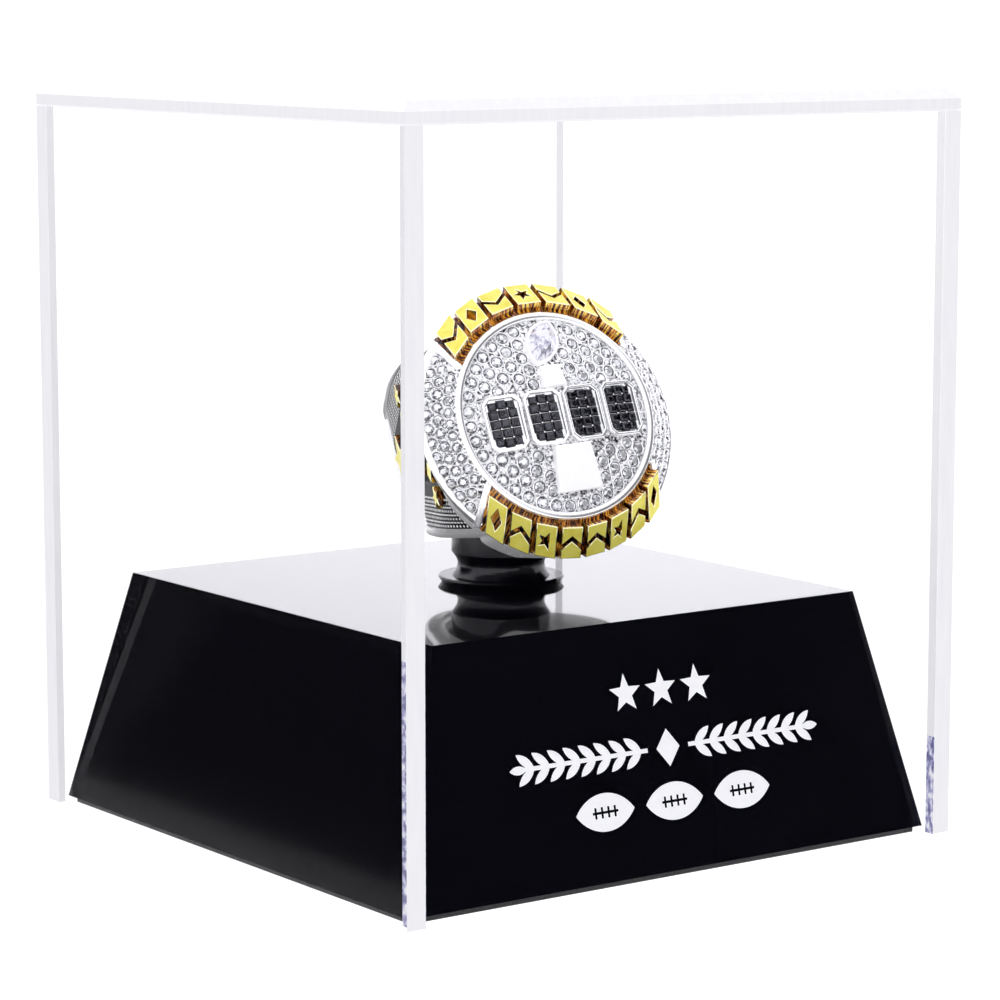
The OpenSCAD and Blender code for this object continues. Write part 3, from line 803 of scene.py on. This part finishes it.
def make_shank():
    front, back = -WINDOW_FRONT, -WINDOW_BACK
    ys = [(FRONT_Y, False), (FRONT_Y + 0.6, False), (front - STEP, False)]
    ys += [(front + STEP + (back - front - 2 * STEP) * i / 44, True) for i in range(45)]
    ys += [(back + STEP + (BACK_Y - back - STEP) * i / 6, False) for i in range(7)]
    turn_back = math.asin(BACK_Y / SHANK_R)
    sections = []
    for y, sunk in ys:
        share = (y - FRONT_Y) / (BACK_Y - FRONT_Y)
        inner_angle = INNER_FRONT * (1 - share) + turn_back * share
        sections.append(shank_section(y, None, inner_angle, sunk))
    for i in range(1, 17):
        angle = turn_back + (math.pi / 2 - turn_back) * i / 16
        sections.append(shank_section(0, angle, angle, False))
    sections += [[(-x, y, z) for x, y, z in section] for section in reversed(sections[:-1])]
    verts = [p for section in sections for p in section]
    n = len(sections[0])
    faces = [tuple(range(n)), tuple(reversed(range(len(verts) - n, len(verts))))]
    for i in range(len(sections) - 1):
        near, far = i * n, (i + 1) * n
        faces += [(near + j, far + j, far + (j + 1) % n, near + (j + 1) % n) for j in range(n)]
    shape = Shape().add((verts, faces), RING)
    piece(shape, "ring_shank", [silver_shank], ["ring_casting"], local=RING)


def on_window(side, y, z, depth):
    """Axes in a window: x round the shank, y along the finger, z outwards, at a depth below the surface."""
    def at(y, z):
        return Vector((side * (side_x(y, z) - depth), y, z))
    around = (at(y + 0.1, z) - at(y - 0.1, z)).normalized() * side
    along = (at(y, z + 0.1) - at(y, z - 0.1)).normalized()
    out = around.cross(along)
    return RING @ Matrix.Translation(at(y, z)) @ Matrix((around, along, out)).transposed().to_4x4()


def make_enamel():
    """Black enamel floors of the two windows, closed underneath."""
    shape = Shape()
    half_thick = 0.08
    columns, rows = 40, 28
    front, back = STEP - WINDOW_FRONT, -WINDOW_BACK - STEP
    for side in (1, -1):
        verts = []
        for depth in (WINDOW_DEPTH - half_thick, WINDOW_DEPTH + half_thick):
            for i in range(columns + 1):
                y = front + (back - front) * i / columns
                reach = shank_half(y, WINDOW_EDGE + STEP)
                for j in range(rows + 1):
                    z = reach * (2 * j / rows - 1)
                    verts.append((side * (side_x(y, z) - depth), y, z))
        n = rows + 1
        layer = (columns + 1) * n
        rim = [i * n for i in range(columns + 1)] + [columns * n + j for j in range(1, n)]
        rim += [i * n + rows for i in range(columns - 1, -1, -1)] + [j for j in range(rows - 1, 0, -1)]
        faces = []
        for i in range(columns):
            for j in range(rows):
                a, b = i * n + j, (i + 1) * n + j
                faces.append((a, b, b + 1, a + 1))
                faces.append((layer + a, layer + a + 1, layer + b + 1, layer + b))
        faces += [(b, a, layer + a, layer + b) for a, b in zip(rim, rim[1:] + rim[:1])]
        shape.add((verts, [f[::side] for f in faces]), RING)
    piece(shape, "shank_enamel", [enamel_black], ["shank_panels"], local=RING)


def make_braid():
    """Herringbone rows of silver beads along both curved ends of each window."""
    shape = Shape()
    rows, row_pitch, row_from = 8, 0.5, 0.4
    beads, bead_pitch, bead_from = 24, 0.62, 0.3
    bead_r, bead_stretch = 0.13, 1.9
    slant = math.radians(42)
    flat = Matrix.Diagonal((1, 1, 0.55, 1))
    for side in (1, -1):
        for end in (1, -1):
            for row in range(rows):
                odd = row % 2
                tilt = -slant if odd else slant
                for i in range(beads):
                    y = bead_from - WINDOW_FRONT + (i + 0.5 * odd) * bead_pitch
                    z = end * (shank_half(y, WINDOW_EDGE) - row_from - row * row_pitch)
                    place = on_window(side, y, z, WINDOW_DEPTH - 0.06) @ turn(tilt, "Z")
                    shape.add(bead(bead_r, 2, 6, bead_stretch), place @ flat)
    piece(shape, "shank_braid", [glowing_silver_white], local=RING)


def make_shank_figures():
    """A row of small stars and lozenges near the bezel, and one large star behind it."""
    shape = Shape()
    rise, sunk = 0.95, -0.05
    row_y, row_pitch = -6.6, 3.2
    large_y, large_r = -0.6, 3.1
    for side in (1, -1):
        for i in range(-2, 3):
            outline = star(1.45) if i % 2 == 0 else lozenge(2.2, 2.6)
            small = plate([outline], rise, 0.1, sunk, side=1, edge=2)
            shape.add(small, on_window(side, row_y, i * row_pitch, WINDOW_DEPTH))
        large = plate([star(large_r)], rise, 0.12, sunk, side=1, edge=2)
        shape.add(large, on_window(side, large_y, 0, WINDOW_DEPTH))
    piece(shape, "shank_figures", [gold_face, gold_wall, gold_edge],
          ["shank_ornaments"], local=RING)


# ---------- ring: bezel ----------

SHELF_ROUND = 1.0
SHELF_SUNK = 1.2
# Shares of y in the way out from the face's middle, between which the wall comes out to its full radius.
SHELF_FROM = 0.70
SHELF_RISE = 0.08


def dome_z(r):
    return DOME_TOP - DOME_R + math.sqrt(DOME_R ** 2 - r * r)


def shelf_r(x, y, z):
    """Radius of the wall behind the bezel's foot: full at the ring's ends, sunk into the shank's sides."""
    across, along = abs(x) / math.hypot(x, y), abs(y) / math.hypot(x, y)
    low = -BEZEL_DROP - SHELF_T
    below = max(low + SHELF_ROUND - z, 0)
    edge = SHELF_ROUND - math.sqrt(max(SHELF_ROUND ** 2 - below ** 2, 0))
    full = BEZEL_R - edge
    if across > 0.05:
        full = min(full, (flank_x(-FACE_D - z) - edge * across) / across)
    share = min(max((along - SHELF_FROM) / SHELF_RISE, 0), 1)
    return full - SHELF_SUNK * (1 - share * share * (3 - 2 * share))


def make_bezel():
    """Domed face, cone and the wall behind the cone's foot, bored for the finger."""
    field_r = RIM_R - RIM_W
    foot = -BEZEL_DROP - SHELL
    low = -BEZEL_DROP - SHELF_T
    # Levels of the wall, close together where its foot is rounded.
    levels = [low + rise for rise in (0, 0.03, 0.12, 0.27, 0.5, 0.75, 1.0, 1.8, 2.6)] + [foot]
    profile = [(0, low)] + [(BEZEL_R, z) for z in levels]
    profile += [(BEZEL_R - 0.1, foot + 0.1), (BEZEL_R - 0.15, foot + 0.25)]
    profile += [(RIM_R, -SHELL), (field_r, -SHELL - 0.1)]
    profile += [(field_r * (1 - i / 10), dome_z(field_r * (1 - i / 10))) for i in range(1, 10)]
    profile.append((0, DOME_TOP))
    verts, faces = solid_lathe(profile, 144)
    shaped = []
    for x, y, z in verts:
        in_wall = z <= foot and math.hypot(x, y) > 1
        scale = shelf_r(x, y, z) / BEZEL_R if in_wall else 1
        shaped.append((x * scale, y * scale, z))
    bore, bore_faces = solid_lathe([(0, -30), (HOLE_R, -30), (HOLE_R, 30), (0, 30)], 128)
    axis = shift(0, 0, -FACE_D) @ turn(-math.pi / 2, "X")
    verts, faces = cut((shaped, faces), ([tuple(axis @ Vector(v)) for v in bore], bore_faces))
    paints = []
    for face in faces:
        middle = sum((Vector(verts[i]) for i in face), Vector()) / len(face)
        paints.append(1 if math.hypot(middle.x, middle.y) < field_r and middle.z > -0.6 else 0)
    shape = Shape().add((verts, faces, paints), FACE)
    piece(shape, "ring_bezel", [silver_shank, crevice], ["ring_casting"])


def make_ribs():
    """Polished rim round the field, ribs along the bezel's foot at its sides, and at the bands' ends."""
    inner_round, outer_round, rib_r = 0.3, 0.35, 0.55
    rim = [(RIM_R - RIM_W, -SHELL - 0.1)]
    rim += arc(RIM_R - RIM_W + inner_round, RIM_LIP - inner_round, inner_round, 180, 90, 4)
    rim += arc(RIM_R - outer_round, RIM_LIP - outer_round, outer_round, 90, 0, 4)
    rim.append((RIM_R, -SHELL - 0.1))
    shape = Shape().add(lathe(rim, 192), FACE)
    piece(shape, "ring_face_rim", [silver_bright], ["face_rim"])
    shape = Shape()
    foot = arc(BEZEL_R - 0.5, -BEZEL_DROP + 0.15, rib_r, 0, 330, 11)
    gap = 90 - BAND_FOOT_HALF
    for side in (0, 180):
        shape.add(lathe(foot, 48, side - gap - 1, side + gap + 1), FACE)
    for middle in (90, -90):
        for end in (-1, 1):
            shape.add(plate([band_end_line(0.9)], 0.85, 0.2, -0.4), at_band_end(middle, end, 0))
    piece(shape, "bezel_ribs", [silver_bright])


def band_half(r):
    """Angle from a band's middle to its end at a radius: the ends are straight lines that spread outwards."""
    middle_line = BAND_OUT / math.hypot(1, BAND_FLARE)
    return math.degrees(math.atan(BAND_FLARE) + math.asin(middle_line / r))


def at_band_end(middle, end, inwards):
    """Half-way down a band's end, some degrees inwards of it, with x along the end."""
    half = band_half((RIM_R + BEZEL_R) / 2)
    rise = BEZEL_R * math.sin(math.radians(band_half(BEZEL_R) - half))
    rise -= RIM_R * math.sin(math.radians(band_half(RIM_R) - half))
    place = on_cone(middle + end * (half - inwards), CONE_LENGTH / 2)
    return place @ turn(end * math.atan2(rise, CONE_LENGTH), "Z")


def band_end_line(width):
    """Outline of a strip along a band's slanting end."""
    x, y = CONE_LENGTH * 1.13 / 2, width / 2
    return [(-x, -y), (x, -y), (x, y), (-x, y)]


def sleeve(middle, reach, steps):
    """Part of the bezel's cone, from core to surface, reach(r) degrees to both sides of its middle."""
    n = Vector((math.sin(CONE_ANGLE), math.cos(CONE_ANGLE))) * SHELL
    top = [(RIM_R + (BEZEL_R - RIM_R) * i / 6, -BEZEL_DROP * i / 6) for i in range(7)]
    under = [(r - n.x, z - n.y) for r, z in reversed(top)]
    verts, faces = lathe(under + top, steps, -1, 1)
    bent = []
    for x, y, z in verts:
        r = math.hypot(x, y)
        angle = math.radians(middle + math.degrees(math.atan2(y, x)) * reach(max(r, RIM_R)))
        bent.append((r * math.cos(angle), r * math.sin(angle), z))
    return bent, faces


# ---------- ring: bands of raised gold figures ----------

FIGURE_L = 4.1
FIGURE_H = 1.1
FIGURE_FROM = 0.5
FIGURE_GAP = 0.45
FIGURE_SUNK = 0.15
BAND_MARGIN = 3
CHEVRON_FROM = 0.3 * FIGURE_L
CHEVRON_TO = 0.44 * FIGURE_L
CHEVRON_SLOPE = 0.544 * FIGURE_L


def figure(kind, w0, w1):
    """Outlines of one raised keystone block: split by a chevron, or pierced by a diamond or a star."""
    if kind == "chevron":
        slope = CHEVRON_SLOPE / w1
        spread = (w1 - w0) / 2 / FIGURE_L

        def side_point(apex):
            x = (apex + slope * w0 / 2) / (1 - slope * spread)
            return x, w0 / 2 + spread * x
        x1, y1 = side_point(CHEVRON_FROM)
        x2, y2 = side_point(CHEVRON_TO)
        return [[(0, -w0 / 2), (x1, -y1), (CHEVRON_FROM, 0), (x1, y1), (0, w0 / 2)],
                [(x2, -y2), (FIGURE_L, -w1 / 2), (FIGURE_L, w1 / 2), (x2, y2), (CHEVRON_TO, 0)]]
    block = [(0, -w0 / 2), (FIGURE_L, -w1 / 2), (FIGURE_L, w1 / 2), (0, w0 / 2)]
    hole = lozenge(FIGURE_L * 0.56, w0 * 0.52) if kind == "diamond" else star(w0 * 0.36)
    return [block, [(x + FIGURE_L / 2, y) for x, y in hole]]


def make_band(name, middle, kinds):
    """One band: its amber ground with two lines at each end, and a row of blocks that lean with its ends."""
    ground = Shape().add(sleeve(middle, band_half, 96), FACE)
    for end in (-1, 1):
        for inwards in (2.2, 3.0):
            ground.add(plate([band_end_line(0.24)], 0.5, 0.08, -0.3), at_band_end(middle, end, inwards), 1)
    piece(ground, name + "_band", [amber, gold_wall], [name + "_ground"])
    r0 = RIM_R + FIGURE_FROM * math.cos(CONE_ANGLE)
    r1 = r0 + FIGURE_L * math.cos(CONE_ANGLE)
    step0 = math.radians(2 * (BAND_IN_HALF - BAND_MARGIN) / len(kinds))
    step1 = math.radians(2 * (BAND_FOOT_HALF - BAND_MARGIN) / len(kinds))
    w0 = 2 * r0 * math.sin(step0 / 2) - FIGURE_GAP
    w1 = 2 * r1 * math.sin(step1 / 2) - FIGURE_GAP
    figures = Shape()
    for i, kind in enumerate(kinds):
        place = i - (len(kinds) - 1) / 2
        angle = place * (step0 + step1) / 2
        lean_over = (r0 * math.sin(place * step0 - angle) - r1 * math.sin(place * step1 - angle)) / FIGURE_L
        outlines = [[(x, y + lean_over * (FIGURE_L / 2 - x)) for x, y in outline]
                    for outline in figure(kind, w0, w1)]
        block = plate(outlines, FIGURE_H + FIGURE_SUNK, 0.1, -FIGURE_SUNK, side=1, edge=2)
        figures.add(block, on_cone(middle + math.degrees(angle), FIGURE_FROM))
    piece(figures, name + "_figures", [gold_face, gold_wall, gold_edge],
          [name + "_blocks"])


# ---------- ring: stones ----------

STONE_R = 0.76
STONE_PITCH = 1.85
STONE_STEP = 1.68
# Beads by each stone of the field: how far inwards and onwards, in steps, and how large.
FIELD_BEADS = ((-0.5, 0.5, 0.27), (-0.5, 0.22, 0.18), (-0.5, 0.78, 0.18), (0, 0.5, 0.15), (0.42, 0.5, 0.2))
BEAD_STRAY = 0.04
PAVE_RADII = (0.62, 0.66, 0.7)
PAVE_COUNT = 10
PAVE_HALF = 27
PAVE_SPREAD = 4.2
PAVE_FROM = 0.85
PAVE_STEP = 1.36
GEM_CELL = 1.27
GEM_SHORTER = 0.93


def in_plaques(x, y, room):
    across = abs(x - RELIEF_X) < 2 * PLAQUE_PITCH + room - 0.3
    return across and abs(y - PLAQUE_Y) < PLAQUE_H / 2 + room


def in_pedestal(x, y, room):
    if y > 0:
        return abs(x - UPPER_STEP_X) < 1.3 + room
    return abs(x - RELIEF_X) < 2.85 + room and y > -9.5 - room


def in_marquise(x, y, room):
    dx, dy = x - RELIEF_X / 2, y - MARQUISE_Y
    along = dx * math.cos(MARQUISE_TURN) + dy * math.sin(MARQUISE_TURN)
    across = dy * math.cos(MARQUISE_TURN) - dx * math.sin(MARQUISE_TURN)
    return math.hypot(along / (MARQUISE_L / 2 + 0.25 + room), across / (MARQUISE_W / 2 + 0.15 + room)) < 1


def field_free(x, y, rim_room, room):
    return (math.hypot(x, y) < RIM_R - RIM_W - rim_room and not in_plaques(x, y, room)
            and not in_pedestal(x, y, room) and not in_marquise(x, y, room))


def collar(r):
    """Thin ring standing round a stone."""
    outline = [(r * 0.93, -0.15), (r * 1.18, -0.15), (r * 1.15, 0.16), (r * 1.04, 0.24), (r * 0.94, 0.16)]
    return lathe(outline, 20)


def seat(r):
    """Cup that a stone stands in, dark with painted shade that rings the stone."""
    return solid_lathe([(0, -0.2), (r * 0.97, -0.2), (r * 0.97, 0.1), (r * 0.8, 0.06), (0, 0.04)], 16)


def set_stone(stones, settings, place, r, spin):
    """A stone of radius r within its collar, slightly turned and tipped as hand-set stones are."""
    tip = turn(0.12 * math.sin(spin * 9), "X")
    gem = brilliant(r * 0.86, r * 0.36, r * 0.2)
    # Each facet but the table is painted with one of the three crystal copies, lighter or darker as painted
    # reflection and shade.
    painted_facet_tones = [0] + rng.choices((0, 1, 2), (5, 2, 3), k=len(gem[1]) - 1)
    stones.add((*gem, painted_facet_tones), place @ turn(spin, "Z") @ shift(0, 0, 0.13) @ tip)
    settings.add(collar(r), place)
    settings.add(seat(r), place, 1)


def make_field():
    """Rings of stones over the field, from its rim inwards, with beads in the gaps between them."""
    stones, settings = Shape(), Shape()
    for row in range(6):
        r = RIM_R - RIM_W - STONE_R - 0.06 - row * STONE_STEP
        count = int(math.pi / math.asin(STONE_PITCH / 2 / r))
        step = TAU / count
        for i in range(count):
            angle = (i + row / 2) * step
            x, y = r * math.cos(angle), r * math.sin(angle)
            if field_free(x, y, 0, 0.5):
                set_stone(stones, settings, on_dome(x, y), STONE_R, rng.uniform(0, 1))
            for inwards, onwards, size in FIELD_BEADS:
                around = angle + (onwards + rng.uniform(-BEAD_STRAY, BEAD_STRAY)) * step
                out = r + (inwards + rng.uniform(-BEAD_STRAY, BEAD_STRAY)) * STONE_STEP
                bx, by = out * math.cos(around), out * math.sin(around)
                if field_free(bx, by, size, size * 0.5):
                    settings.add(bead(size, 3, 8), on_dome(bx, by, -0.05))
    piece(stones, "face_brilliants", CRYSTAL_REFLECTION_TONES, ["face_stones"], sharp=5)
    piece(settings, "face_settings", [silver, oxide])


def make_side_pave():
    """Three rows of stones on each side of the bezel, with rows of beads between them."""
    for name, side in (("left", 180), ("right", 0)):
        ground = Shape().add(sleeve(side, lambda r: 90 - band_half(r), 64), FACE)
        piece(ground, name + "_pave_ground", [crevice], [name + "_pave_panel"])
    stones, settings = Shape(), Shape()
    for side in (0, 180):
        for row, r in enumerate(PAVE_RADII):
            count = PAVE_COUNT + row
            half = PAVE_HALF + row * PAVE_SPREAD
            down = PAVE_FROM + row * PAVE_STEP
            for i in range(count):
                place = on_cone(side + (i / (count - 1) * 2 - 1) * half, down)
                set_stone(stones, settings, place, r, rng.uniform(0, 1))
            for i in range(count * 3):
                spot = side + (i / (count * 3 - 1) * 2 - 1) * (half + 1.5)
                settings.add(bead(rng.uniform(0.14, 0.22), 3, 8), on_cone(spot, down + PAVE_STEP / 2, -0.03))
    piece(stones, "side_brilliants", CRYSTAL_REFLECTION_TONES, ["pave_stones"], sharp=5)
    piece(settings, "side_settings", [silver, oxide])


def plaque(less=0.0):
    """Octagonal outline of a plaque, or of one that is less wide and high."""
    x, y = (PLAQUE_W - less) / 2, (PLAQUE_H - less) / 2
    c = x * 0.32
    return [(c - x, -y), (x - c, -y), (x, c - y), (x, y - c),
            (x - c, y), (c - x, y), (-x, y - c), (-x, c - y)]


def step_stone(w, h, crown, depth):
    """Square stone with stepped facets and a flat table."""
    verts = []
    for share, z in ((1.0, -depth), (1.0, 0.0), (0.82, crown * 0.65), (0.52, crown)):
        verts += [(x * w / 2 * share, y * h / 2 * share, z) for x, y in ((-1, -1), (1, -1), (1, 1), (-1, 1))]
    faces = [(3, 2, 1, 0), (12, 13, 14, 15)]
    for level in (0, 4, 8):
        faces += strip(level, level + 4, 4)
    return verts, faces


def make_plaques():
    """Four framed plaques, each with rows of black stones and small beads at their corners."""
    frames, gems = Shape(), Shape()
    gem_rise, bead_rise = 0.58, 0.62
    for n in range(4):
        place = on_dome(RELIEF_X + (n - 1.5) * PLAQUE_PITCH, PLAQUE_Y)
        frames.add(plate([plaque(), plaque(0.85)], 1.15, 0.16, -0.2), place)
        frames.add(plate([plaque(0.5)], 0.65, 0.05, -0.2), place)
        for i in (-1, 0, 1):
            for j in (-2, -1, 0, 1, 2):
                corner = abs(i) + abs(j) == 3
                w = GEM_CELL - (0.2 if corner else 0.08)
                inward = 0.1 if corner else 0.0
                spot = shift(i * (GEM_CELL - inward), j * (GEM_CELL * GEM_SHORTER - inward / 2), gem_rise)
                gems.add(step_stone(w, w * GEM_SHORTER, 0.32, 0.2), place @ spot)
        for i in (-0.5, 0.5):
            for j in (-1.5, -0.5, 0.5, 1.5):
                spot = shift(i * GEM_CELL, j * GEM_CELL * GEM_SHORTER, bead_rise)
                frames.add(bead(0.14, 2, 6), place @ spot)
    piece(frames, "plaque_settings", [silver_bright], ["plaque_frames"])
    piece(gems, "black_gems", [black_crystal], ["black_stones"], sharp=5)


def make_relief():
    """Marquise stone in its collar, over a plain pedestal in two steps."""
    length, width = MARQUISE_L, MARQUISE_W
    r = (length ** 2 + width ** 2) / 4 / width
    verts, faces = brilliant(1, 0.6, 0.3)
    shaped = []
    for x, y, z in verts:
        share = math.hypot(x, y)
        across = length / 2 * (x / share if share else 0)
        side = math.copysign(1, y) if abs(y) > 1e-6 else 0
        rise = math.sqrt(r * r - across * across) - (r - width / 2)
        shaped.append((across * share, side * rise * share, z))
    place = on_dome(RELIEF_X / 2, MARQUISE_Y) @ turn(MARQUISE_TURN, "Z")
    stone = Shape().add((shaped, faces), place @ shift(0, 0, 0.62))
    piece(stone, "marquise_gem", [marquise_crystal], ["marquise_stone"], sharp=5)
    collar_outlines = [lens(length + 0.6, width + 0.6), lens(length - 0.2, width - 0.15)]
    relief = Shape().add(plate(collar_outlines, 0.9, 0.15, -0.2), place)
    # A dark plate under the marquise, its rim a painted shaded outline between stone and collar.
    relief.add(plate([lens(length + 0.1, width + 0.2)], 0.6, 0.05, -0.2, 1, 1, 1), place)
    upper = [(-1.6, -1.6), (1.6, -1.6), (1.2, 1.1), (-1.2, 1.1)]
    lower = [(-3, -2.5), (3, -2.5), (2.4, 3.2), (-2.4, 3.2)]
    relief.add(plate([upper], 1.0, 0.2, -0.2), on_dome(UPPER_STEP_X, 4.9))
    relief.add(plate([lower], 1.1, 0.2, -0.2), on_dome(RELIEF_X, -7.15))
    piece(relief, "pedestal", [glowing_silver_white, oxide], ["pedestal_relief"])


rng = random.Random(7)
make_shank()
make_enamel()
make_braid()
make_shank_figures()
make_bezel()
make_ribs()
make_band("upper", 90, ("chevron", "diamond", "chevron", "star", "chevron", "diamond", "chevron"))
make_band("lower", -90, ("diamond", "chevron", "star", "chevron", "chevron", "star", "chevron", "diamond"))
make_field()
make_side_pave()
make_plaques()
make_relief()

low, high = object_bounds()
